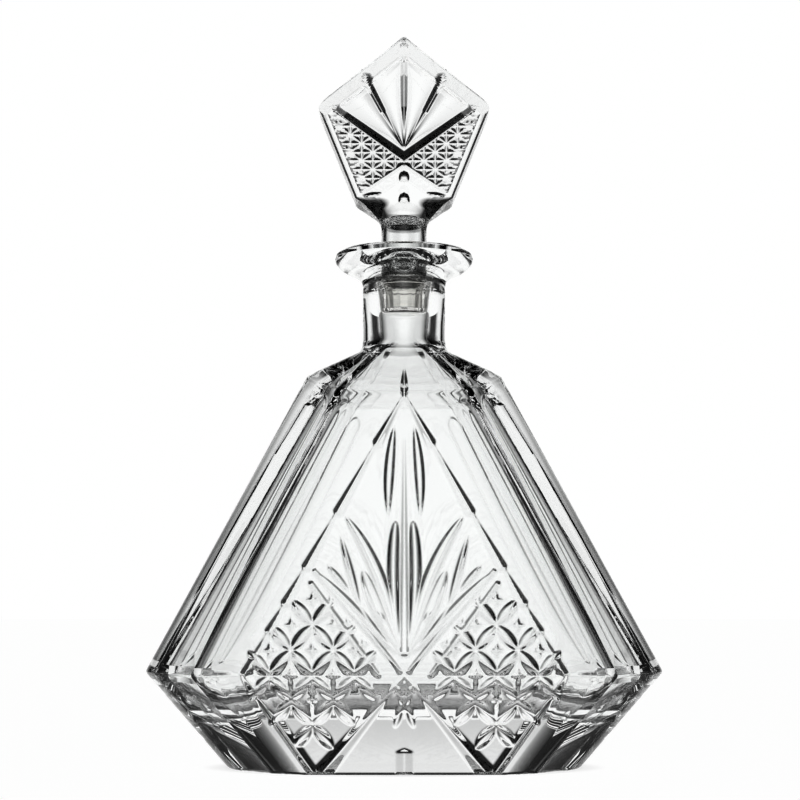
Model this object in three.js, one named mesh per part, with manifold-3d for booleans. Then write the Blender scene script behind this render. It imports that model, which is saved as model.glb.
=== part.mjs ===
// A cut crystal decanter: a flask-shaped glass body with a belt, a pentagonal glass stopper, and the
// soft cup seal on the stopper's stub. Millimetres, +Z up. The origin is on the table, under the middle
// of the body. The body's two broad faces look along -Y and +Y, and its width runs along X. The cut
// pattern is on the front face, towards -Y.
import * as THREE from "three";
import { mergeVertices } from "three/addons/utils/BufferGeometryUtils.js";
import Module from "manifold-3d";

const wasm = await Module();
wasm.setup();

// ---------- Driving dimensions ----------

const BELT_HEIGHT = 36.6; // the widest level, where the lower slope meets the upper one
const FRONT_SHOULDER_HEIGHT = 142.5; // the shoulder crease at the middle of a broad face
const SIDE_SHOULDER_HEIGHT = 152; // the same crease at the narrow sides
const NECK_FOOT_HEIGHT = 162;
const LIP_TOP_HEIGHT = 201.6;
const STOPPER_TOP_HEIGHT = 288;

const NECK_RADIUS = 16.3;
const LIP_RADIUS = 27.4;
const BORE_RADIUS = 9.7;
const MOUTH_RADIUS = 12.1; // the wider seat for the seal's collar
const SEAT_HEIGHT = 186; // where the mouth narrows to the bore, in a cone that the seal sits on
const FLOOR_HEIGHT = 25; // inside floor: the base is solid glass below it

const STUB_RADIUS = 8.2; // the stopper's plug, inside the seal
const STUB_TAPER = 0.7;
const STUB_BOTTOM = 177.6;
const STEM_RADIUS = 8.5;
const PLATE_DEPTH = 20; // the pentagon's thickness
const GAP = 0.3; // between pieces that touch on the real object

// ---------- Solids from loops of points ----------

// A closed skin through rings of points. Each ring runs anticlockwise seen from above, and the skin
// goes up the outside; both ends close on the ring's middle.
function skin(rings) {
  const count = rings[0].length;
  const points = rings.flat();
  const index = [];
  for (let row = 0; row + 1 < rings.length; row++)
    for (let k = 0; k < count; k++) {
      const a = row * count + k;
      const b = row * count + ((k + 1) % count);
      index.push(a, b, b + count, a, b + count, a + count);
    }
  const middle = (ring) =>
    ring.reduce((sum, p) => sum.add(p), new THREE.Vector3()).divideScalar(count);
  const firstMiddle = points.push(middle(rings[0])) - 1;
  const lastMiddle = points.push(middle(rings.at(-1))) - 1;
  const lastRow = (rings.length - 1) * count;
  for (let k = 0; k < count; k++) {
    const next = (k + 1) % count;
    index.push(firstMiddle, next, k);
    index.push(lastMiddle, lastRow + k, lastRow + next);
  }
  return new THREE.BufferGeometry().setFromPoints(points).setIndex(index);
}

function toSolid(geometry) {
  const bare = geometry.clone();
  bare.deleteAttribute("normal");
  bare.deleteAttribute("uv");
  const merged = mergeVertices(bare, 1e-4);
  const vertProperties = merged.attributes.position.array;
  const triVerts = new Uint32Array(merged.index.array);
  return new wasm.Manifold(new wasm.Mesh({ numProp: 3, vertProperties, triVerts }));
}

function toGeometry(solid) {
  const mesh = solid.getMesh();
  return new THREE.BufferGeometry()
    .setAttribute("position", new THREE.BufferAttribute(mesh.vertProperties, 3))
    .setIndex(new THREE.BufferAttribute(mesh.triVerts, 1));
}

function mix(a, b, share) {
  return a + (b - a) * share;
}

// ---------- Rings ----------

// The full ring of a section that is the same in all four quarters. quarter lists [x, y] from the
// middle of the broad face, where x is 0, to the middle of the narrow side, where y is 0.
function fullRing(quarter, heightAt) {
  const inner = quarter.slice(1, -1);
  const front = inner.map(([x, y]) => [x, -y]);
  const back = inner.map(([x, y]) => [x, y]).reverse();
  const [middle, side] = [quarter[0], quarter.at(-1)];
  const right = [[middle[0], -middle[1]], ...front, side, ...back];
  const left = right.map(([x, y]) => [-x, -y]);
  return [...right, ...left].map(([x, y]) => new THREE.Vector3(x, y, heightAt(x, y)));
}

// One quarter of the fluted body. ridges are the crests between the flutes, from the panel's edge to
// the middle of the narrow side. The panel is flat, the two flutes are hollowed, and the narrow side
// is rounded.
const FLUTE_STEPS = [2, 3, 4, 6]; // segments of each flute, from the panel outwards
const FLUTE_HOLLOW = [0, 0.3, 0.8, -1.45]; // below zero is rounded outwards

function flutedQuarter(ridges) {
  const [panelX, panelY] = ridges[0];
  const quarter = [
    [0, panelY],
    [panelX / 2, panelY],
    [panelX, panelY],
  ];
  FLUTE_STEPS.forEach((steps, flute) => {
    const [x0, y0] = ridges[flute];
    const [x1, y1] = ridges[flute + 1];
    const length = Math.hypot(x1 - x0, y1 - y0);
    const inward = [(y1 - y0) / length, (x0 - x1) / length];
    for (let step = 1; step <= steps; step++) {
      const share = step / steps;
      const hollow = 4 * share * (1 - share) * FLUTE_HOLLOW[flute];
      quarter.push([
        mix(x0, x1, share) + inward[0] * hollow,
        mix(y0, y1, share) + inward[1] * hollow,
      ]);
    }
  });
  return quarter;
}

// Crests of the flutes at the three levels where the body is creased: [half width, half depth].
const BASE_RIDGES = [[38.2, 30.6], [44.5, 28.8], [50, 26.6], [64, 14.5], [68.3, 0]];
const BELT_RIDGES = [[64.3, 44], [70.5, 42.6], [78.5, 39.2], [93.6, 23.5], [100.4, 0]];
const SHOULDER_RIDGES = [[1.5, 33], [14.5, 32.2], [25.2, 28.2], [33, 19.5], [38, 0]];

const shoulderQuarter = flutedQuarter(SHOULDER_RIDGES);
const shoulderHeight = (x, y) => {
  const side = Math.abs(x) / Math.hypot(x, y);
  return mix(FRONT_SHOULDER_HEIGHT, SIDE_SHOULDER_HEIGHT, side ** 4);
};

function fluted(ridges, height, scale = 1) {
  const quarter = flutedQuarter(ridges).map(([x, y]) => [x * scale, y * scale]);
  return fullRing(quarter, () => height);
}

// A ring that is round, or an oval that is flatter along its broad sides the higher its squareness,
// with its points at the same bearings as the shoulder's.
function oval(halfWidth, halfDepth, height, squareness = 2) {
  const quarter = shoulderQuarter.map(([x, y]) => {
    const bearing = Math.atan2(y / SHOULDER_RIDGES[0][1], x / SHOULDER_RIDGES.at(-1)[0]);
    return [
      halfWidth * Math.abs(Math.cos(bearing)) ** (2 / squareness),
      halfDepth * Math.sin(bearing),
    ];
  });
  return fullRing(quarter, () => height);
}

const round = (radius, height) => oval(radius, radius, height);

// ---------- Cuts ----------

// A V cut along the line from start to end, each [x, z], in a face whose middle plane passes through
// depth(z). widths and depths are those at the two ends, so a cut can taper.
function vCut(start, end, depth, widths, depths) {
  const along = new THREE.Vector2(end[0] - start[0], end[1] - start[1]).normalize();
  const across = new THREE.Vector2(-along.y, along.x);
  const CLEAR = 3; // how far the cutter stands out of the glass
  const ends = [start, end].map(([x, z], i) => {
    const half = widths[i] / 2;
    const flare = 1 + CLEAR / depths[i];
    const corner = (sideways, out) =>
      new THREE.Vector3(x + across.x * sideways, -depth(z) - out, z + across.y * sideways);
    return [
      corner(0, -depths[i]),
      corner(half * flare, CLEAR),
      corner(-half * flare, CLEAR),
    ];
  });
  return toSolid(skin(ends));
}

// Takes each cut and its mirror image, left to right, out of the solid.
function cutBothHalves(solid, cuts) {
  const images = cuts.flatMap((cut) => [cut, cut.mirror([1, 0, 0])]);
  return images.reduce((left, image) => left.subtract(image), solid);
}

// ---------- The decanter's body ----------

// Half depth of the flat panel at a height.
function panelDepth(z) {
  const [below, above] = [BASE_RIDGES[0][1], SHOULDER_RIDGES[0][1]];
  const belt = BELT_RIDGES[0][1];
  return z < BELT_HEIGHT
    ? mix(below, belt, z / BELT_HEIGHT)
    : mix(belt, above, (z - BELT_HEIGHT) / (FRONT_SHOULDER_HEIGHT - BELT_HEIGHT));
}

// The skin's rings, from the recess under the base, up the outside, over the lip and down the inside.
function bodyRings() {
  const RECESS = 1.2;
  const foot = [fluted(BASE_RIDGES, RECESS, 0.7), fluted(BASE_RIDGES, 0, 0.76)];
  const outside = [
    fluted(BASE_RIDGES, 0, 0.985),
    fluted(BASE_RIDGES, 0.8),
    fluted(BELT_RIDGES, BELT_HEIGHT),
    fullRing(shoulderQuarter, shoulderHeight),
  ];
  const neck = [
    round(NECK_RADIUS + 1.2, NECK_FOOT_HEIGHT - 0.6),
    round(NECK_RADIUS + 0.3, NECK_FOOT_HEIGHT + 1.2),
    round(NECK_RADIUS, NECK_FOOT_HEIGHT + 4),
    round(NECK_RADIUS, LIP_TOP_HEIGHT - 14),
  ];
  const LIP = [
    // radius, height from the lip's top
    [16.8, -12],
    [18.6, -10.3],
    [22.2, -8.6],
    [25.4, -6.7],
    [27, -4.6],
    [LIP_RADIUS, -3],
    [26.9, -1.4],
    [25.2, -0.3],
    [23, 0],
  ];
  const lip = LIP.map(([radius, height]) => round(radius, LIP_TOP_HEIGHT + height));
  const mouth = [
    round(MOUTH_RADIUS + 1.9, LIP_TOP_HEIGHT),
    round(MOUTH_RADIUS + 0.4, LIP_TOP_HEIGHT - 0.8),
    round(MOUTH_RADIUS, LIP_TOP_HEIGHT - 3),
    round(MOUTH_RADIUS, SEAT_HEIGHT),
    round(BORE_RADIUS + 0.8, SEAT_HEIGHT - 2.6),
    round(BORE_RADIUS, SEAT_HEIGHT - 14),
    round(BORE_RADIUS, NECK_FOOT_HEIGHT + 3),
  ];
  const CAVITY = [
    // half width, half depth, height, squareness
    [11.5, 11.2, 161.5, 2],
    [18.5, 16.5, 155, 2.1],
    [26.5, 22.5, 147.5, 2.6],
    [31.5, 26, 138.5, 3.1],
    [91, 36.8, 42, 4.6],
    [91.6, 36.4, 36, 4.6],
    [84.5, 33, 29, 4.4],
    [75, 28.5, 25.8, 4.2],
    [65, 23, FLOOR_HEIGHT, 4],
  ];
  return [...foot, ...outside, ...neck, ...lip, ...mouth, ...CAVITY.map((row) => oval(...row))];
}

// The long V cuts on the front face: the panel's border above and below the belt, and the four
// arms of the cross whose middle is on the belt.
function bodyCuts() {
  const APEX = [0, 138];
  const CORNER = [58.6, BELT_HEIGHT];
  const FOOT = [33.4, 0];
  const ARM_SLOPE = 1.15;
  const ARM_REACH = 34.4;
  const CROSS = [0, BELT_HEIGHT];
  const arm = (reach, up) => {
    const end = [reach, BELT_HEIGHT + up * reach * ARM_SLOPE];
    return vCut(CROSS, end, panelDepth, [4.4, 4.4], [1.6, 1.6]);
  };
  return [
    vCut(CORNER, APEX, panelDepth, [3.6, 2.6], [1.4, 0.9]),
    vCut(CORNER, FOOT, panelDepth, [3.6, 3.6], [1.4, 1.4]),
    arm(ARM_REACH, 1),
    arm(30.5, -1),
  ];
}

function makeBody() {
  return toGeometry(cutBothHalves(toSolid(skin(bodyRings())), bodyCuts()));
}

// ---------- The stopper ----------

const PLATE_BOTTOM = 222;
const PLATE_WIDEST = 260;
const BEVEL = 2.4; // width of the bevel round the pentagon
const EDGE_SHARE = 0.72; // the pentagon's edge is this share of its full depth

// One quarter of a ring of the stopper: from a circle, where share is 0, to the bevelled plate at 1.
function stopperQuarter(halfWidth, halfDepth, share) {
  const flatX = Math.max(halfWidth - BEVEL, halfWidth * 0.3);
  const edgeY = halfDepth * EDGE_SHARE;
  const plate = [
    [0, halfDepth],
    [flatX / 3, halfDepth],
    [(flatX * 2) / 3, halfDepth],
    [flatX, halfDepth],
    [halfWidth, edgeY],
    [halfWidth, edgeY / 2],
    [halfWidth, 0],
  ];
  return plate.map(([x, y], i) => {
    const angle = (Math.PI / 2) * (1 - i / (plate.length - 1));
    return [mix(Math.cos(angle) * halfWidth, x, share), mix(Math.sin(angle) * halfDepth, y, share)];
  });
}

function stopperRings() {
  const half = PLATE_DEPTH / 2;
  const ROWS = [
    // height, half width, half depth, how far from round to plate
    [STUB_BOTTOM, STUB_RADIUS - STUB_TAPER - 0.6, STUB_RADIUS - STUB_TAPER - 0.6, 0],
    [STUB_BOTTOM + 0.6, STUB_RADIUS - STUB_TAPER, STUB_RADIUS - STUB_TAPER, 0],
    [193.5, STUB_RADIUS, STUB_RADIUS, 0],
    [195.5, STEM_RADIUS, STEM_RADIUS, 0],
    [208, STEM_RADIUS - 0.1, STEM_RADIUS - 0.1, 0],
    [212, 8.9, 8.5, 0.1],
    [215.5, 10.8, 8.8, 0.4],
    [218.5, 14, 9.4, 0.8],
    [PLATE_BOTTOM, 19.2, half, 1],
    [PLATE_WIDEST, 33.3, half, 1],
    [PLATE_WIDEST + 3, 31.2, half, 1],
    [STOPPER_TOP_HEIGHT - 2, 3.4, half - 0.6, 1],
    [STOPPER_TOP_HEIGHT, 1, half * EDGE_SHARE, 1],
  ];
  return ROWS.map(([height, halfWidth, halfDepth, share]) =>
    fullRing(stopperQuarter(halfWidth, halfDepth, share), () => height),
  );
}

// The cross and the fan of V cuts on the front face of the pentagon.
function stopperCuts() {
  const plateFace = () => PLATE_DEPTH / 2;
  const CROSS = [0, 237.5];
  const FAN = [0, 241.5];
  return [
    vCut(CROSS, [29.4, 261.5], plateFace, [2.4, 4.2], [0.9, 1.6]),
    vCut(CROSS, [17.5, 224.5], plateFace, [2.6, 3.2], [1, 1.2]),
    vCut(FAN, [14, 270], plateFace, [0.8, 4.6], [0.4, 1.5]),
    vCut(FAN, [0, 278], plateFace, [0.8, 5.6], [0.4, 1.8]),
  ];
}

function makeStopper() {
  return toGeometry(cutBothHalves(toSolid(skin(stopperRings())), stopperCuts()));
}

// ---------- The seal ----------

// A soft cup over the stopper's stub, with a collar that sits on the cone in the neck's mouth.
function makeSeal() {
  const BOTTOM = 176;
  const WALL = 1.4;
  const inner = STUB_RADIUS + GAP;
  const outerLow = inner - STUB_TAPER + WALL - 0.1;
  const collar = MOUTH_RADIUS - 0.5;
  const collarBottom = SEAT_HEIGHT - 0.2;
  const collarTop = 193.2;
  const profile = [
    [0, BOTTOM],
    [outerLow - 0.5, BOTTOM],
    [outerLow, BOTTOM + 0.5],
    [inner + WALL, collarBottom - 2.8],
    [collar, collarBottom],
    [collar, collarBottom + 2],
    [collar - 0.5, collarBottom + 2.5],
    [collar - 0.5, collarBottom + 3.5],
    [collar, collarBottom + 4],
    [collar, collarTop - 0.5],
    [collar - 0.5, collarTop],
    [inner, collarTop],
    [inner - STUB_TAPER, STUB_BOTTOM - GAP],
    [0, STUB_BOTTOM - GAP],
  ].map(([radius, height]) => new THREE.Vector2(radius, height));
  const SEGMENTS = 48;
  return new THREE.LatheGeometry(profile, SEGMENTS).rotateX(Math.PI / 2);
}

// ---------- The assembly ----------

const crystal = new THREE.MeshStandardMaterial({
  color: 0xeef1f1,
  roughness: 0.03,
  metalness: 0,
  transparent: true,
  opacity: 0.35,
});
const clearPlastic = new THREE.MeshStandardMaterial({
  color: 0xd9d6d0,
  roughness: 0.35,
  metalness: 0,
  transparent: true,
  opacity: 0.6,
});

function piece(name, geometry, material) {
  const mesh = new THREE.Mesh(geometry, material);
  mesh.name = name;
  return mesh;
}

const decanter = new THREE.Group();
decanter.add(
  piece("decanter_body", makeBody(), crystal),
  piece("stopper", makeStopper(), crystal),
  piece("stopper_seal", makeSeal(), clearPlastic),
);

export default decanter;
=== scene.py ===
import math

import bpy
import numpy as np
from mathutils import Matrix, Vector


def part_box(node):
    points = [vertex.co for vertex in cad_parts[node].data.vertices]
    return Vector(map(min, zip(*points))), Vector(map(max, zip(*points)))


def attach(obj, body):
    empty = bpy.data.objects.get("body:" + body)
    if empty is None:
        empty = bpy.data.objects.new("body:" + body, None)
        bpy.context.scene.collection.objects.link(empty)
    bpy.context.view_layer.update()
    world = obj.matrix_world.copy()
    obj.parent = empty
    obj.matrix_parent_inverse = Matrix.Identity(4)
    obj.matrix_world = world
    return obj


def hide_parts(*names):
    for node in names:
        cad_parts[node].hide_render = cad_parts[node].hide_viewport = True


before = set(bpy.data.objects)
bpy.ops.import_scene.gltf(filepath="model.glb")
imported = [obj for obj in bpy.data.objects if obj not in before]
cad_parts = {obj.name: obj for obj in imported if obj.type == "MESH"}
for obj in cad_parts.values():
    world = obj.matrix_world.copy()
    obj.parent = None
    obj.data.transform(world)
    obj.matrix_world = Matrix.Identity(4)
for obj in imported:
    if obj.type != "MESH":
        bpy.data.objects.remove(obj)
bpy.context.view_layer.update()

# Sizes are in millimetres until a mesh is made, with the frame's origin and axes: +Z up, the width
# along X, and the broad faces towards -Y and +Y.
MM = 0.001


def corner_mm(node, which):
    """The lowest (0) or highest (1) corner of a CAD node, in millimetres."""
    return np.array(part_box(node)[which]) / MM


BODY_TOP = corner_mm("decanter_body", 1)  # half width, half depth and height of the glass body
STOPPER_LOW, STOPPER_TOP = corner_mm("stopper", 0), corner_mm("stopper", 1)
SEAL_LOW, SEAL_TOP = corner_mm("stopper_seal", 0), corner_mm("stopper_seal", 1)

# ---------- Camera, floor and light ----------

scene = bpy.context.scene


def add_camera():
    """The photo's view: from the front, low above the table and looking slightly upwards."""
    camera = bpy.data.objects.new("camera", bpy.data.cameras.new("camera"))
    scene.collection.objects.link(camera)
    camera.data.lens = 79
    camera.data.sensor_width = 36
    camera.data.clip_start = 0.01
    camera.location = (-0.0016, -0.69, 0.070)
    camera.rotation_euler = (math.radians(90 + 6), 0, 0)
    scene.camera = camera


add_camera()


def new_material(name):
    """A material with its nodes, its links and its shader."""
    material = bpy.data.materials.new(name)
    material.use_nodes = True
    nodes = material.node_tree.nodes
    return material, nodes, material.node_tree.links, nodes["Principled BSDF"]


def ramp_node(nodes, stops):
    """A colour ramp through grey values, given as (position, grey) pairs."""
    node = nodes.new("ShaderNodeValToRGB")
    ramp = node.color_ramp
    while len(ramp.elements) < len(stops):
        ramp.elements.new(0.5)
    for element, (position, grey) in zip(ramp.elements, stops):
        element.position = position
        element.color = (grey, grey, grey, 1)
    return node


def math_node(nodes, links, kind, *values):
    """The output of a maths node. Each value is a number or another node's output."""
    node = nodes.new("ShaderNodeMath")
    node.operation = kind
    for socket, value in zip(node.inputs, values):
        if isinstance(value, (int, float)):
            socket.default_value = value
        else:
            links.new(value, socket)
    return node.outputs[0]


def add_floor():
    """A lit white table: it glows like an opal light table, and takes only a faint shadow. Under and round
    the foot its glow is turned down, a painted shadow that darkens the floor there.
    """
    radius, count = 3.0, 128
    angles = 2 * math.pi * np.arange(count) / count
    rim = np.stack([np.cos(angles), np.sin(angles), np.zeros(count)], -1) * radius
    mesh = bpy.data.meshes.new("floor")
    mesh.from_pydata(rim.tolist(), [], [list(range(count))])
    floor = bpy.data.objects.new("floor", mesh)
    floor.location.z = -0.0002
    scene.collection.objects.link(floor)
    material, nodes, links, shader = new_material("floor")
    shader.inputs["Base Color"].default_value = (0.9, 0.9, 0.9, 1)
    shader.inputs["Roughness"].default_value = 0.7
    glow = nodes.new("ShaderNodeEmission")
    glow.inputs["Strength"].default_value = 1.02
    blend = nodes.new("ShaderNodeMixShader")
    coord = nodes.new("ShaderNodeTexCoord")
    footprint = nodes.new("ShaderNodeMapping")
    footprint.inputs["Scale"].default_value = (0.45, 1, 1)
    links.new(coord.outputs["Object"], footprint.inputs["Vector"])
    distance = nodes.new("ShaderNodeVectorMath")
    distance.operation = "LENGTH"
    links.new(footprint.outputs["Vector"], distance.inputs[0])
    painted_shadow_fade = ramp_node(nodes, [(0.02, 0.35), (0.034, 0.97)])  # painted shadow: the floor glows less under the foot, so it is darker there
    links.new(distance.outputs["Value"], painted_shadow_fade.inputs[0])
    links.new(painted_shadow_fade.outputs[0], blend.inputs[0])
    links.new(shader.outputs[0], blend.inputs[1])
    links.new(glow.outputs[0], blend.inputs[2])
    links.new(blend.outputs[0], nodes["Material Output"].inputs[0])
    floor.data.materials.append(material)


add_floor()

PANELS = 4  # bright upright panels in a ring, with dark gaps between them


def light_world():
    """A studio of bright upright panels with dark gaps between them, and a dark ceiling. What shows
    directly behind the object is plain white."""
    world = bpy.data.worlds.new("studio")
    world.use_nodes = True
    scene.world = world
    nodes, links = world.node_tree.nodes, world.node_tree.links
    background = nodes["Background"]
    coord = nodes.new("ShaderNodeTexCoord")
    split = nodes.new("ShaderNodeSeparateXYZ")
    links.new(coord.outputs["Generated"], split.inputs[0])
    azimuth = math_node(nodes, links, "ARCTAN2", split.outputs[0], split.outputs[1])
    turned = math_node(nodes, links, "MULTIPLY", azimuth, PANELS)
    wave = math_node(nodes, links, "COSINE", turned)
    share = math_node(nodes, links, "MULTIPLY_ADD", wave, 0.5, 0.5)
    panels = ramp_node(nodes, [(0.0, 0.0), (0.2, 0.02), (0.42, 0.45), (0.75, 0.85), (0.96, 1.0)])
    links.new(share, panels.inputs[0])
    ceiling = ramp_node(nodes, [(0.3, 1.0), (0.5, 0.0)])
    links.new(split.outputs[2], ceiling.inputs[0])
    studio = nodes.new("ShaderNodeMix")
    studio.data_type = "RGBA"
    studio.blend_type = "MULTIPLY"
    studio.inputs["Factor"].default_value = 1
    links.new(panels.outputs[0], studio.inputs["A"])
    links.new(ceiling.outputs[0], studio.inputs["B"])
    seen = nodes.new("ShaderNodeMix")
    seen.data_type = "RGBA"
    seen.inputs["B"].default_value = (1, 1, 1, 1)
    ray = nodes.new("ShaderNodeLightPath")
    links.new(ray.outputs["Is Camera Ray"], seen.inputs["Factor"])
    links.new(studio.outputs["Result"], seen.inputs["A"])
    links.new(seen.outputs["Result"], background.inputs[0])


light_world()

scene.view_settings.view_transform = "Standard"
scene.view_settings.gamma = 0.6
scene.cycles.max_bounces = 32
scene.cycles.transmission_bounces = 28
scene.cycles.glossy_bounces = 8

# ---------- Materials ----------


def crystal_material(name):
    material, _, _, shader = new_material(name)
    shader.inputs["Base Color"].default_value = (0.985, 0.99, 0.988, 1)
    shader.inputs["Transmission Weight"].default_value = 1
    shader.inputs["Roughness"].default_value = 0.0
    shader.inputs["IOR"].default_value = 1.54
    return material


def stippled_crystal(name):
    """Crystal with a coarse stippled surface, for the underside of the base."""
    material = crystal_material(name)
    nodes, links = material.node_tree.nodes, material.node_tree.links
    coord = nodes.new("ShaderNodeTexCoord")
    noise = nodes.new("ShaderNodeTexNoise")
    noise.inputs["Scale"].default_value = 600
    bump = nodes.new("ShaderNodeBump")
    bump.inputs["Strength"].default_value = 1
    bump.inputs["Distance"].default_value = 0.001
    links.new(coord.outputs["Object"], noise.inputs["Vector"])
    links.new(noise.outputs["Fac"], bump.inputs["Height"])
    links.new(bump.outputs["Normal"], nodes["Principled BSDF"].inputs["Normal"])
    return material


def seal_material():
    """Clear soft plastic, slightly frosted, darker in a band round its collar."""
    material, nodes, links, shader = new_material("seal_plastic")
    shader.inputs["Transmission Weight"].default_value = 1
    shader.inputs["Roughness"].default_value = 0.06
    shader.inputs["IOR"].default_value = 1.42
    coord = nodes.new("ShaderNodeTexCoord")
    split = nodes.new("ShaderNodeSeparateXYZ")
    links.new(coord.outputs["Object"], split.inputs[0])
    share = nodes.new("ShaderNodeMapRange")
    share.inputs["From Min"].default_value = SEAL_LOW[2] * MM
    share.inputs["From Max"].default_value = SEAL_TOP[2] * MM
    links.new(split.outputs[2], share.inputs["Value"])
    # darker in a band round the collar, from about three quarters of the way up
    band = ramp_node(nodes, [(0.0, 0.97), (0.70, 0.97), (0.76, 0.7), (0.88, 0.7), (0.9, 0.95)])
    for element in band.color_ramp.elements:
        grey = element.color[0]
        element.color = (grey, grey * 0.99, grey * 0.975, 1)
    links.new(share.outputs["Result"], band.inputs[0])
    links.new(band.outputs[0], shader.inputs["Base Color"])
    return material


# ---------- Meshes from rings ----------


def mix(a, b, share):
    return a + (b - a) * share


def ring_mesh(name, rings, material):
    """A closed mesh through rings [row][column] of points, each end closed on its middle point."""
    rows, columns = rings.shape[:2]
    points = np.concatenate([rings.reshape(-1, 3), rings[[0, -1]].mean(1)]) * MM
    k = np.arange(columns)
    after = (k + 1) % columns
    start = np.arange(rows - 1)[:, None] * columns
    quads = np.stack([start + k, start + after, start + columns + after, start + columns + k], -1)
    # The left half's quads are split into triangles as a mirror image of the right half's.
    quads[:, columns // 2 :] = np.roll(quads[:, columns // 2 :], 1, -1)
    quads = quads.reshape(-1, 4)
    first, last = rows * columns, rows * columns + 1
    bottom = np.stack([np.full(columns, first), after, k], -1)
    top_row = (rows - 1) * columns
    top = np.stack([np.full(columns, last), top_row + k, top_row + after], -1)
    mesh = bpy.data.meshes.new(name)
    mesh.from_pydata(points.tolist(), [], quads.tolist() + bottom.tolist() + top.tolist())
    mesh.polygons.foreach_set("use_smooth", np.ones(len(mesh.polygons), bool))
    mesh.set_sharp_from_angle(angle=math.radians(30))
    mesh.materials.append(material)
    piece = bpy.data.objects.new(name, mesh)
    scene.collection.objects.link(piece)
    return piece


def whole_ring(front, back):
    """The whole ring of points (x, y, z) from its front and back quarters, which each run from
    x = 0 to y = 0 at the right. It goes anticlockwise seen from above."""
    front_right = front * (1, -1, 1)
    back_right = back[::-1][1:]
    back_left = back[1:] * (-1, 1, 1)
    front_left = front[::-1][1:-1] * (-1, -1, 1)
    return np.concatenate([front_right, back_right, back_left, front_left])


# ---------- Relief ----------


class Relief:
    """How deep a face is cut, over half of the face: x from 0 outwards and z upwards."""

    def __init__(self, width, bottom, top, step=0.25):
        self.step, self.bottom = step, bottom
        self.x, self.z = np.meshgrid(np.arange(0, width, step), np.arange(bottom, top, step))
        self.depth = np.zeros_like(self.x)

    def along(self, a, b):
        """Each point's share of the way from a to b, and its distance to the left of that line."""
        ax, az = a
        dx, dz = b[0] - ax, b[1] - az
        length = math.hypot(dx, dz)
        s = ((self.x - ax) * dx + (self.z - az) * dz) / length
        t = ((self.z - az) * dx - (self.x - ax) * dz) / length
        return s / length, t

    def cut(self, depth):
        self.depth = np.maximum(self.depth, depth)

    def groove(self, a, b, left, right, depth):
        """A straight V cut. left, right and depth are each (at a, at b)."""
        s, t = self.along(a, b)
        c = np.clip(s, 0, 1)
        half = np.where(t > 0, mix(left[0], left[1], c), mix(right[0], right[1], c))
        past = np.abs(s - c) * math.dist(a, b)
        deep = mix(depth[0], depth[1], c)
        self.cut(deep * (1 - np.abs(t) / np.maximum(half, 1e-3)) - past * 1.2)

    def leaf(self, a, b, half_width, depth, bow=0.0, belly=0.5, hollow=1.0):
        """A pointed cut, bowed sideways by bow and widest at the belly's share of its length. hollow
        is 1 for a V section and 2 for a round one, and above that the bottom gets flatter."""
        s, t = self.along(a, b)
        c = np.clip(s, 0, 1)
        k = math.log(0.5) / math.log(belly)
        c = c ** k
        swell = (4 * c * (1 - c)) ** 0.75
        t = t - bow * 4 * np.clip(s, 0, 1) * (1 - np.clip(s, 0, 1))
        reach = np.abs(t) / np.maximum(half_width * swell, 1e-3)
        self.cut(np.where((s > 0) & (s < 1), depth * swell * (1 - reach ** hollow), -1))

    def soften(self, radius):
        """Rounds every edge of the cuts."""
        self.depth = np.maximum(self.depth, 0)
        size = int(3 * radius / self.step)
        offsets = np.arange(-size, size + 1) * self.step
        weights = np.exp(-(offsets ** 2) / (2 * radius ** 2))
        weights /= weights.sum()
        padded = np.concatenate([self.depth[:, size:0:-1], self.depth], 1)
        padded = np.pad(padded, ((size, size), (0, size)), "edge")
        rows = sum(w * padded[k : k + self.depth.shape[0]] for k, w in enumerate(weights))
        self.depth = sum(w * rows[:, k : k + self.depth.shape[1]] for k, w in enumerate(weights))

    def at(self, x, z):
        """The depth at each point, between the grid's points by straight lines."""
        rows, columns = self.depth.shape
        u = np.clip(np.abs(x) / self.step, 0, columns - 1.001)
        v = np.clip((z - self.bottom) / self.step, 0, rows - 1.001)
        i, j = u.astype(int), v.astype(int)
        u, v = u - i, v - j
        low = mix(self.depth[j, i], self.depth[j, i + 1], u)
        high = mix(self.depth[j + 1, i], self.depth[j + 1, i + 1], u)
        return mix(low, high, v)


# ---------- The glass body ----------

HALF_WIDTH, HALF_DEPTH, LIP_TOP = BODY_TOP
BELT = 36.6
FRONT_SHOULDER, SIDE_SHOULDER = 142.5, 152.0
NECK_FOOT = 162.0
NECK_RADIUS = 16.3
BORE_RADIUS = 9.7
WALL = 6.5

# The crests between the flutes, from the broad face's edge outwards: [half width, half depth].
BASE_RIDGES = np.array([[44.5, 28.8], [50, 26.6], [64, 14.5], [68.3, 0]])
BELT_RIDGES = np.array([[70.5, 42.6], [78.5, 39.2], [93.6, 23.5], [HALF_WIDTH, 0]])
SHOULDER_RIDGES = np.array([[14.5, 32.2], [25.2, 28.2], [33, 19.5], [38, 0]])
BASE_DEPTH, BELT_DEPTH, SHOULDER_DEPTH = 30.6, HALF_DEPTH, 33.0
FLAT_SHARES = (0.86, 0.91, 0.1)  # how much of the broad face is flat, at the same three levels
FOOT_EDGE = 0.8  # the height of the foot's outer edge
FACE_COLUMNS = 180
FLUTE_COLUMNS = 16
FLUTE_HOLLOW = (0.3, 0.8, -1.45)  # of the two flutes, and of the narrow side, which bulges
ARCH_TOP, ARCH_RISE, ARCH_EDGE = 0.965, 0.05, 0.014  # the flutes' round tops, as shares of the height
LOWER_ROWS, UPPER_ROWS, SLOPE_ROWS = 105, 290, 40
CREASE_SPREAD = 1.6  # how far the belt's and the shoulder's creases are rounded, in rows


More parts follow.
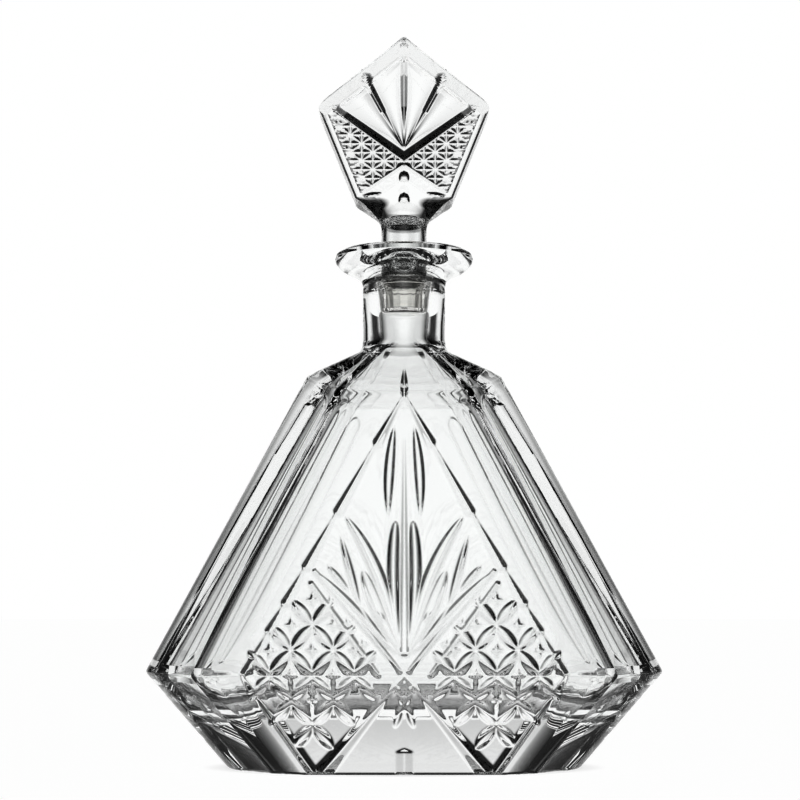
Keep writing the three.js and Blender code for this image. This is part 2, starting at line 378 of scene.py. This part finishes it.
def section(ridges, face_depth, flat, hollows=(1, 1, 1)):
    """One quarter of a section: the broad face, two flutes and half of the narrow side. hollows is
    what the hollow of each of these last three is multiplied by."""
    x_edge, y_edge = ridges[0]
    u = np.linspace(0, 1, FACE_COLUMNS, endpoint=False)
    drop = np.clip((u - flat) / (1 - flat), 0, 1) ** 1.4
    points = [np.stack([u * x_edge, mix(face_depth, y_edge, drop)], -1)]
    share = np.arange(FLUTE_COLUMNS) / FLUTE_COLUMNS
    for flute, depth in enumerate(FLUTE_HOLLOW):
        a, b = ridges[flute], ridges[flute + 1]
        inward = np.array([b[1] - a[1], a[0] - b[0]]) / np.hypot(*(b - a))
        bulge = 4 * share * (1 - share) * depth * hollows[flute]
        points.append(mix(a, b, share[:, None]) + inward * bulge[:, None])
    return np.concatenate(points + [ridges[-1:]])


def at_height(points, z):
    """A section's points (x, y, z). z is one height for all of them, or a height for each."""
    return np.column_stack([points, np.broadcast_to(z, len(points))])


def round_section(radius, bearings):
    """A circle's points at bearings that are measured from the broad face's direction."""
    return np.stack([np.sin(bearings) * radius, np.cos(bearings) * radius], -1)


def inner_section(outer, wall, count):
    """A quarter of the inside of a wall of even thickness: the outside's section with its corners
    rounded, moved inwards, and divided evenly into count points."""
    degrees = np.arange(-40, 131)
    corners = np.concatenate([outer, outer * (-1, 1), outer * (1, -1)])
    normals = np.radians(degrees)
    normals = np.stack([np.cos(normals), np.sin(normals)], -1)
    reach = (normals @ corners.T).max(1)
    spread = np.exp(-(np.arange(-25, 26) ** 2) / (2 * 4.5 ** 2))
    reach = np.convolve(reach, spread / spread.sum(), "same")
    turn = np.gradient(reach, math.radians(1))
    across = np.stack([-normals[:, 1], normals[:, 0]], -1)
    curve = (normals * (reach - wall)[:, None] + across * turn[:, None])[40:131][::-1]
    curve[0, 0], curve[-1, 1] = 0, 0
    length = np.concatenate([[0], np.cumsum(np.hypot(*np.diff(curve, axis=0).T))])
    even = np.linspace(0, length[-1], count)
    return np.stack([np.interp(even, length, curve[:, axis]) for axis in (0, 1)], -1)


CROSS = (0, 37)  # the middle of the cross, on the belt
BORDER_TOP, BORDER_BELT, BORDER_FOOT = (0.8, 140.0), (58.6, 37.0), (33.4, 0.0)


def cut_border(relief):
    """The panel's edge: knife cuts end to end, each one deeper and wider towards its lower end."""
    heights = (140.0, 122.7, 96.8, 76.4, 63.0, 52.9, 37.0)
    rise = BORDER_TOP[1] - BORDER_BELT[1]

    def edge_point(z):
        return (mix(BORDER_BELT[0], BORDER_TOP[0], (z - BORDER_BELT[1]) / rise), z)

    for top, low in zip(heights, heights[1:]):
        relief.groove(edge_point(top), edge_point(low), (0.4, 1.6), (0.6, 2.6), (0.3, 2.0))
    relief.groove(BORDER_BELT, BORDER_FOOT, (1.6, 1.6), (2.6, 2.6), (1.6, 1.6))


def cut_arms(relief):
    """The cross: above the belt each arm is two cuts side by side with nicks on the rib between
    them, and below it one deep cut that widens downwards."""
    relief.groove((33.2, 75.2), (12.5, 51.9), (1.0, 1.3), (1.0, 1.3), (1.4, 1.9))
    relief.groove((12.5, 51.9), (1.5, 38.5), (1.3, 0.9), (1.3, 0.9), (1.9, 1.1))
    relief.groove((34.4, 70.5), (21.8, 53.2), (1.0, 1.5), (1.3, 1.9), (1.7, 2.3))
    relief.groove((21.8, 53.2), (9.5, 37.0), (1.5, 1.0), (1.9, 1.2), (2.3, 1.4))
    for x, z in ((14.8, 48.4), (20.6, 56.0), (26.9, 64.1)):
        relief.leaf((x - 2.2, z + 0.3), (x + 2.2, z - 0.3), 0.7, 1.1)
        relief.leaf((x - 0.6, z - 2.0), (x + 0.6, z + 2.0), 0.7, 1.1)
    relief.groove(CROSS, (30.5, 0.5), (0.6, 3.6), (0.5, 3.4), (0.6, 2.9))


LATTICE_MIDDLE = (33.7, 37.0)
LATTICE_STEP = (7.75, 9.15)


def cut_lattice(relief):
    """Pointed cuts between the crossings of a slanted lattice, in the two corners of the panel."""
    def point(i, j):
        return (LATTICE_MIDDLE[0] + i * LATTICE_STEP[0], LATTICE_MIDDLE[1] + j * LATTICE_STEP[1])

    nodes = [(0, 0), (-2, 0), (2, 0)]
    for up in (1, -1):
        nodes += [(-1, up), (1, up), (0, 2 * up)]
    ends = set()
    for i, j in nodes:
        for di, dj in ((1, 1), (1, -1), (-1, 1), (-1, -1)):
            ends.add(tuple(sorted([(i, j), (i + di, j + dj)])))
    for a, b in sorted(ends):
        relief.leaf(point(*a), point(*b), 2.4, 2.3, hollow=2)
    for i, j in nodes:
        x, z = point(i, j + 1)
        relief.leaf((x, z - 3.0), (x, z + 3.0), 0.9, 1.4)
        relief.leaf((x - 2.6, z), (x + 2.6, z), 0.9, 1.4)


def cut_fan(relief):
    """Leaves that spread upwards from just above the cross, and the two tall round cuts."""
    root = (0.6, 44.8)
    relief.groove((0, 124), (0, 95), (0.5, 1.2), (0.5, 1.2), (0.3, 0.9))
    relief.groove((0, 95), root, (1.2, 1.6), (1.2, 1.6), (0.9, 1.5))
    relief.leaf((3.2, 93.5), (1.2, 45), 2.2, 2.4, bow=1.8, belly=0.33, hollow=2)
    relief.leaf((21.8, 95.4), (2.4, 45.6), 2.4, 2.4, bow=-3.3, belly=0.45, hollow=3)
    relief.leaf((15.4, 75.4), (2.0, 45.2), 2.9, 2.2, bow=0.5, belly=0.45, hollow=3)
    relief.leaf((10.4, 61.8), (6.7, 55.0), 1.2, 2.9, hollow=3)
    relief.leaf((23.6, 88.5), (16.2, 61.5), 1.5, 1.9, belly=0.5)
    relief.leaf((16.4, 62.5), (2.0, 44.8), 1.3, 1.8, bow=1.1)
    relief.leaf((28.3, 77.2), (20.4, 67.6), 1.5, 1.9)
    relief.leaf((33.4, 75.6), (3, 44.3), 1.9, 2.2, bow=-0.8)
    relief.leaf((3.7, 129.3), (5.9, 95.2), 1.7, 2.0, bow=0.8, hollow=4)


def cut_foot(relief):
    """The small arch and the round cuts in the middle of the lower slope."""
    relief.groove((0, 8.5), (0, 0), (3.3, 3.4), (3.3, 3.4), (1.6, 1.6))
    relief.leaf((2.9, 34), (0.9, 26), 1.1, 1.4, hollow=2)
    relief.leaf((1.1, 25.5), (3.6, 17.8), 1.3, 1.4, hollow=2)


def face_relief():
    """Every cut on the front, from the foot up to the small one above the panel's top."""
    relief = Relief(width=72, bottom=0, top=160)
    cut_border(relief)
    cut_arms(relief)
    cut_lattice(relief)
    cut_fan(relief)
    cut_foot(relief)
    relief.leaf((0, 155), (0, 139.5), 1.5, 2.2, belly=0.72)
    relief.soften(0.28)
    return relief


def flute_hollows(height):
    """How hollow the flutes are at a share of the height from the belt to the shoulder. They deepen
    upwards and run out in round arches just below the shoulder."""
    share = np.arange(FLUTE_COLUMNS) / FLUTE_COLUMNS
    arch = ARCH_TOP - ARCH_RISE * (2 * share - 1) ** 2
    inside = np.clip((arch - height) / ARCH_EDGE, 0, 1)
    inside = inside * inside * (3 - 2 * inside)
    return (mix(1, 3, height) * inside, mix(1, 1.9, height) * inside, 1)


def body_sections():
    """The outside from the base to the neck's foot, before the relief, as [row][column] of points."""
    levels = []
    for height in np.linspace(0, 1, LOWER_ROWS, endpoint=False):
        levels.append((height, BASE_RIDGES, BELT_RIDGES, BASE_DEPTH, BELT_DEPTH, FLAT_SHARES[:2]))
    for height in np.linspace(0, 1, UPPER_ROWS):
        ends = (BELT_RIDGES, SHOULDER_RIDGES, BELT_DEPTH, SHOULDER_DEPTH)
        levels.append((height, *ends, FLAT_SHARES[1:]))
    rows = []
    for number, (share, low, high, low_depth, high_depth, flat) in enumerate(levels):
        upper = number >= LOWER_ROWS
        hollows = flute_hollows(share) if upper else (1, 1, 1)
        ridges = mix(low, high, share)
        points = section(ridges, mix(low_depth, high_depth, share), mix(*flat, share), hollows)
        if upper:
            side = points[:, 0] / np.hypot(*points.T)
            top = mix(FRONT_SHOULDER, SIDE_SHOULDER, side ** 4)
            rows.append(at_height(points, mix(BELT, top, share)))
        else:
            rows.append(at_height(points, mix(FOOT_EDGE, BELT, share)))
    return rows


def shoulder_slope(last, foot):
    """From the shoulder's crease up to the neck's foot, with the flutes hollowed again."""
    full = section(SHOULDER_RIDGES, SHOULDER_DEPTH, FLAT_SHARES[2], (3, 1.6, 1))
    plain = section(SHOULDER_RIDGES, SHOULDER_DEPTH, FLAT_SHARES[2], (0, 0, 1))
    extra = np.column_stack([full - plain, np.zeros(len(full))])
    rows = []
    for share in np.linspace(0, 1, SLOPE_ROWS)[1:]:
        rows.append(mix(last, foot, share) + extra * 3 * share * (1 - share) ** 0.7)
    return rows


def round_creases(rows, spread):
    """Rounds the creases between rows, each row becoming a mean of its neighbours."""
    size = int(3 * spread)
    weights = np.exp(-(np.arange(-size, size + 1) ** 2) / (2 * spread ** 2))
    weights /= weights.sum()
    padded = np.concatenate([rows[:1]] * size + [rows] + [rows[-1:]] * size)
    return sum(w * padded[k : k + len(rows)] for k, w in enumerate(weights))


def inner_rows(bearings):
    """The inside from the neck's foot down to the floor."""
    count = len(bearings)
    at_shoulder = inner_section(SHOULDER_RIDGES, WALL, count)
    throat = round_section(BORE_RADIUS, bearings)
    rows = []
    raised = (at_shoulder[:, 0] / np.hypot(*at_shoulder.T)) ** 4
    for share, z in ((0.07, 162), (0.16, 160.5), (0.32, 157.5), (0.55, 152.8), (0.8, 147.6), (0.93, 143.6)):
        rows.append(at_height(mix(throat, at_shoulder, share), z + 5.5 * share * raised))
    for z in np.linspace(139, BELT + 2, 30):
        outer = mix(BELT_RIDGES, SHOULDER_RIDGES, (z - BELT) / (FRONT_SHOULDER + 4 - BELT))
        rows.append(at_height(inner_section(outer, WALL, count), z))
    for z, wall in ((35.5, 7.2), (32.5, 8.2), (29.6, 10.4), (27.6, 13.5), (26.2, 18), (25.4, 23), (25, 27)):
        outer = mix(BASE_RIDGES, BELT_RIDGES, z / BELT)
        rows.append(at_height(inner_section(outer, wall, count), z))
    return rows


def body_rings():
    """Every ring of the body: the underside, the outside with the front's cuts, the neck and the lip,
    and then the inside down to the floor."""
    outside = body_sections()
    shoulder = outside[-1]
    bearings = np.arctan2(shoulder[:, 0] / SHOULDER_RIDGES[-1][0], shoulder[:, 1] / SHOULDER_DEPTH)
    bearings[0], bearings[-1] = 0, math.pi / 2
    foot = at_height(round_section(NECK_RADIUS + 1.2, bearings), NECK_FOOT - 0.6)
    outside = np.stack(outside + shoulder_slope(shoulder, foot))
    outside = round_creases(outside, CREASE_SPREAD)
    base = section(BASE_RIDGES, BASE_DEPTH, FLAT_SHARES[0])
    foot_rows = [at_height(base * share, 1.2) for share in (0.2, 0.45, 0.72)]
    foot_rows += [at_height(base * 0.77, 0), at_height(base * 0.975, 0)]
    foot_rows += [at_height(base * 0.99, 0.3)]
    neck = [  # (radius, height), up the outside, over the lip and down the bore
        (NECK_RADIUS + 0.3, NECK_FOOT + 1.2),
        (NECK_RADIUS, NECK_FOOT + 4),
        (NECK_RADIUS, 187.5),
        (16.8, 189.6),
        (18.6, 191.3),
        (22.2, 193),
        (25.4, 194.9),
        (27.0, 197),
        (27.4, 198.6),
        (26.9, 200.2),
        (25.2, 201.3),
        (23, LIP_TOP),
        (14, LIP_TOP),
        (12.5, LIP_TOP - 0.8),
        (12.1, LIP_TOP - 3),
        (12.1, 186),
        (10.5, 183.4),
        (BORE_RADIUS, 172),
        (BORE_RADIUS, NECK_FOOT + 3),
    ]
    upper = [at_height(round_section(radius, bearings), z) for radius, z in neck]
    upper += inner_rows(bearings)
    patterned = outside.copy()
    face = patterned[:, :FACE_COLUMNS]
    face[..., 1] -= face_relief().at(face[..., 0], face[..., 2])
    rings = [whole_ring(row, row) for row in foot_rows]
    rings += [whole_ring(front, back) for front, back in zip(patterned, outside)]
    rings += [whole_ring(row, row) for row in upper]
    return np.stack(rings)


UNDERSIDE_TOP = 0.0013  # in metres, just above the raised middle

body = ring_mesh("decanter_glass", body_rings(), crystal_material("body_crystal"))
body.data.materials.append(stippled_crystal("body_underside"))
for face in body.data.polygons:  # the ring it stands on and the raised middle face downwards
    if face.center.z < UNDERSIDE_TOP and face.normal.z < -0.9:
        face.material_index = 1
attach(body, "decanter")
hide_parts("decanter_body")

# ---------- The stopper ----------

PLATE_FOOT, PLATE_TIP = 222.0, STOPPER_TOP[2]
CORNER_LOW, CORNER_HIGH = 258.4, 262.4  # between these heights the side edge turns into the roof
PLATE_OUTLINE = [  # (height, half width)
    (PLATE_FOOT, 19.3),
    (CORNER_LOW, 34.0),
    (260, 33.5),
    (CORNER_HIGH, 31.9),
    (PLATE_TIP, 0.5),
]
PLATE_HALF = STOPPER_TOP[1]
PLATE_COLUMNS, PLATE_ROWS = 130, 260
RIM = 0.7  # the steep rim along the outside of both bevels
SIDE_BEVEL, ROOF_BEVEL = 2.4, 6.4
SIDE_INSET, FACET_INSET = 2.6, 6.6  # how far cuts stay from the side edge, and facets from the roof
EDGE_OFFSETS = np.array([8, 7.4, 7, 6.8, 6.6, 6.4, 5.6, 4.8, 4, 3.2, 2.6, 2.4, 1.9, 1.4, 1, 0.7, 0.3, 0])


def plate_width(z):
    """Half of the pentagon's width at a height."""
    heights, widths = zip(*PLATE_OUTLINE)
    return np.interp(z, heights, widths)


def plate_columns(width, z):
    """The x of each column across half the plate: evenly spaced in the middle, and at fixed
    distances from the edge along the bevels."""
    factor = np.interp(z, (CORNER_LOW, CORNER_HIGH), (1.08, 1.6))
    offsets = EDGE_OFFSETS * factor
    outer = width - offsets * min(1, 0.6 * width / offsets[0])
    return np.concatenate([np.linspace(0, outer[0], PLATE_COLUMNS)[:-1], outer])


def edge_distances(x, z):
    """How far a point of the pentagon's face is from its side edge and from its roof edge."""
    side_edge = ((19.3, PLATE_FOOT), (34.0, CORNER_LOW))
    roof_edge = ((31.9, CORNER_HIGH), (0, PLATE_TIP))
    distances = []
    for (ax, az), (bx, bz) in (side_edge, roof_edge):
        length = math.hypot(bx - ax, bz - az)
        distances.append(np.abs((z - az) * (bx - ax) - (x - ax) * (bz - az)) / length)
    return distances


def edge_bevels(x, z):
    """How far the bevels along the pentagon's edges lie behind its face."""
    side, roof = edge_distances(x, z)
    along_side = np.interp(side, (0, RIM, SIDE_BEVEL), (1.8, 0.6, 0))
    return np.maximum(along_side, np.interp(roof, (0, RIM, ROOF_BEVEL), (4.3, 3.0, 0.3)))


STAR_ROOT = (7.9, 236.9)
STAR_STEP = (4.45, 3.5)
STAR_DEPTH, STAR_HALF_WIDTH = 1.0, 1.05
ARM_SLOPE, FOOT_SLOPE = 0.74, 0.72
ARM_ROOT, FAN_ROOT = 236.9, 241.8


def cut_stars(relief):
    """Fine crossed cuts in the triangle between the arms of the cross and the side bevel."""
    i = (relief.x - STAR_ROOT[0]) / STAR_STEP[0]
    j = (relief.z - STAR_ROOT[1]) / STAR_STEP[1]
    slant = math.hypot(*STAR_STEP)
    across = 2 * STAR_STEP[0] * STAR_STEP[1] / slant
    families = [((i + j) / 2, across), ((i - j) / 2, across), (i, STAR_STEP[0]), (j, STAR_STEP[1])]
    deep = np.zeros_like(relief.x)
    for lines, spacing in families:
        off = np.abs(lines - np.round(lines)) * spacing
        deep = np.maximum(deep, STAR_DEPTH * (1 - off / STAR_HALF_WIDTH))
    above = relief.z - (ARM_ROOT - 0.4 - FOOT_SLOPE * relief.x)
    below = (ARM_ROOT - 0.6 + ARM_SLOPE * relief.x) - relief.z
    side, roof = edge_distances(relief.x, relief.z)
    room = np.minimum(np.minimum(above, below), np.minimum(side - SIDE_INSET, roof - ROOF_BEVEL))
    relief.cut(np.where(room > 0, deep, 0))


def cut_facets(relief):
    """The sunk and slightly hollow facets of the fan, inside the roof bevel and above the arms."""
    side, roof = edge_distances(relief.x, relief.z)
    above = relief.z - (ARM_ROOT + 3 + ARM_SLOPE * relief.x)
    bearing = np.degrees(np.arctan2(relief.x, relief.z - FAN_ROOT))
    middle = np.where(bearing < 27, 13, 42)
    dish = 0.5 + 1.4 * np.clip(1 - ((bearing - middle) / 15) ** 2, 0, 1)
    inside = (roof > FACET_INSET) & (above > 0) & (side > SIDE_INSET)
    relief.cut(np.where(inside, dish * np.clip((roof - FACET_INSET) / 0.5, 0, 1), 0))


def stopper_relief():
    """Every cut on the stopper's front."""
    relief = Relief(width=36, bottom=212, top=290, step=0.15)
    cut_stars(relief)
    cut_facets(relief)
    relief.groove((0, 284.2), (0, 277.2), (1.8, 1.9), (1.8, 1.9), (1.2, 1.7))
    relief.groove((0, 277.2), (0, 259), (3.0, 3.1), (3.0, 3.1), (2.5, 2.7))
    relief.groove((0, 259), (0, FAN_ROOT), (2.5, 0.3), (2.5, 0.3), (2.9, 0.4))
    relief.groove((14.9, 269.2), (8.4, 256.8), (2.4, 2.1), (2.4, 2.1), (3.0, 2.9))
    relief.groove((8.4, 256.8), (0.2, FAN_ROOT), (1.9, 0.3), (1.9, 0.3), (2.2, 0.4))
    relief.groove((15.6, 272.0), (14.9, 269.2), (1.2, 2.0), (1.2, 2.0), (1.0, 2.0))
    relief.groove((27.4, 257.2), (0, ARM_ROOT), (0.7, 0.7), (2.7, 3.7), (2.9, 2.9))
    relief.groove((0.6, 235.2), (16.5, 224.4), (1.3, 1.3), (1.0, 1.0), (1.4, 1.2))
    for middle in (230.4, 221.7):
        relief.leaf((0, middle + 2.2), (0, middle - 2.2), 1.9, 1.5, belly=0.6, hollow=3)
        relief.leaf((1.0, middle + 1.6), (1.3, middle - 2.2), 0.8, 1.8, hollow=2)
    relief.leaf((8.6, 223.6), (16.6, 222.4), 0.9, 1.2)
    relief.soften(0.14)
    return relief


def stopper_rings():
    """Every ring of the stopper: down the hollow, and up the stub, the stem and the plate."""
    edge = np.linspace(1, 0, 9)[1:]
    relief = stopper_relief()

    def plate_row(z, width, share, cut=0):
        """A row of the plate (share 1) or of the round stem (share 0), with the pattern or not."""
        across = plate_columns(width, z)
        x = np.concatenate([across, np.full(len(edge), width)])
        bevel = edge_bevels(across, z)
        cuts = relief.at(across, np.full_like(across, z)) * np.clip((width - across) / 0.6, 0, 1)
        face = PLATE_HALF - bevel - cut * cuts
        y = np.concatenate([face, edge * face[-1]])
        bearings = np.linspace(0, math.pi / 2, len(x))
        circle = round_section(width, bearings)
        depth = mix(width, PLATE_HALF, share)
        circle = circle * (1, depth / width)
        return at_height(mix(circle, np.stack([x, y], -1), share), z)

    # The hollow and the stub are (height, radius), and the stem is (height, half width, plate's share).
    hollow = [(216.2, 3), (216, 5.2), (215.4, 6.6), (214.5, 7.2), (213, 7.4), (198, 7.3)]
    hollow += [(194, 6.8), (STOPPER_LOW[2] + 0.5, 6.6)]
    rows = [(z, radius, 0) for z, radius in hollow]
    stub = [(STOPPER_LOW[2], 6.9), (STOPPER_LOW[2] + 0.6, 7.5), (193.5, 8.2), (195.5, 8.8), (203, 9.1)]
    rows += [(z, radius, 0) for z, radius in stub]
    stem = [(208, 8.9, 0), (211, 8.95, 0.02), (213, 9.4, 0.08), (214.5, 10.3, 0.2), (216, 11.8, 0.4)]
    stem += [(217, 12.9, 0.55), (219.7, 16.0, 0.85), (221.2, 18.3, 0.96)]
    heights = np.linspace(208, 221.2, 30)
    widths = np.interp(heights, [r[0] for r in stem], [r[1] for r in stem])
    shares = np.interp(heights, [r[0] for r in stem], [r[2] for r in stem])
    rows += list(zip(heights, widths, shares))
    rows += [(z, plate_width(z), 1) for z in np.linspace(PLATE_FOOT, PLATE_TIP, PLATE_ROWS)]
    return np.stack([whole_ring(plate_row(*row, cut=1), plate_row(*row)) for row in rows])


stopper = ring_mesh("stopper_glass", stopper_rings(), crystal_material("stopper_crystal"))
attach(stopper, "stopper")
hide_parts("stopper")

# ---------- The seal ----------

SEAL_RIBS = 24
RIB_DEPTH = 0.12


def seal_rings():
    """A thin cup round the stopper's stub, with a collar of two beads, and fine upright ribs below."""
    foot, head = SEAL_LOW[2], SEAL_TOP[2]
    collar = SEAL_TOP[0]
    sleeve = [(foot, 3), (foot, 6.5), (foot + 0.1, 8.2), (foot + 0.7, 8.9), (foot + 1.6, 9.15)]
    sleeve += [(183.0, 9.8), (185.0, 10.6)]
    beads = [(186.0, collar), (187.6, collar), (188.0, collar - 0.5), (188.5, collar - 0.5)]
    beads += [(188.9, collar), (head - 0.5, collar), (head, collar - 0.6), (head, 9.4)]
    inside = [(head - 0.2, 8.8), (head - 1, 8.5), (foot + 2, 7.75), (foot + 1.3, 6.8), (foot + 1.3, 2)]
    bearings = np.linspace(0, math.pi / 2, 37)
    ribs = np.cos(bearings * SEAL_RIBS) * RIB_DEPTH
    rows = []
    for z, radius in sleeve + beads + inside:
        relief = ribs if (z, radius) in sleeve else 0 * ribs
        circle = np.stack([np.sin(bearings), np.cos(bearings)], -1) * (radius + relief)[:, None]
        circle[0, 0], circle[-1, 1] = 0, 0
        rows.append(whole_ring(at_height(circle, z), at_height(circle, z)))
    return np.stack(rows)


seal = ring_mesh("seal_plastic", seal_rings(), seal_material())
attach(seal, "seal")
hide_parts("stopper_seal")
